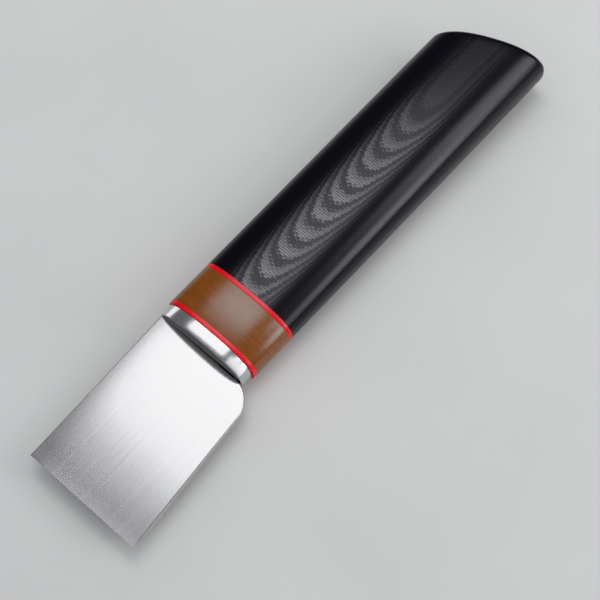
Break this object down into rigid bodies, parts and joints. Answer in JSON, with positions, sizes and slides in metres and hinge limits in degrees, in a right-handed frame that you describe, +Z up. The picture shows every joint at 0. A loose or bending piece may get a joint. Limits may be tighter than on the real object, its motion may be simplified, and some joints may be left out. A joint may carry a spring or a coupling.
{
  "type": "skiving knife",
  "caption": "Leather skiving knife: a flared single-bevel blade with a hidden tang, a polished bolster, a red-brown-red collar and a tapered canvas micarta handle with a raked butt.",
  "frame": {"origin": "under the middle of the bounding box, on the surface that the knife lies on", "axes": "+X runs along the knife from the cutting edge to the butt, +Y to the straight side and +Z up from the blade's flat side; the knife lies on its tapered belly, so the blade's own plane dips 1.28 degrees towards the edge"},
  "size_m": [0.171, 0.0382, 0.0182],
  "materials": {
    "blade_steel": "satin, brushed along the knife",
    "bolster_steel": "polished stainless steel",
    "red_liner": "satin vulcanised fibre",
    "brown_micarta": "satin, fine sanding lines across the knife",
    "black_micarta": "satin canvas laminate, layers parallel to the blade",
    "epoxy": "cured amber epoxy",
    "dowel_steel": "ground"
  },
  "bodies": {
    "root": {"blade": "blade_steel", "bolster": "bolster_steel", "front_liner": "red_liner", "ferrule": "brown_micarta", "rear_liner": "red_liner", "handle": "black_micarta", "tang_epoxy": "epoxy", "alignment_dowels": "dowel_steel"}
  },
  "joints": []
}
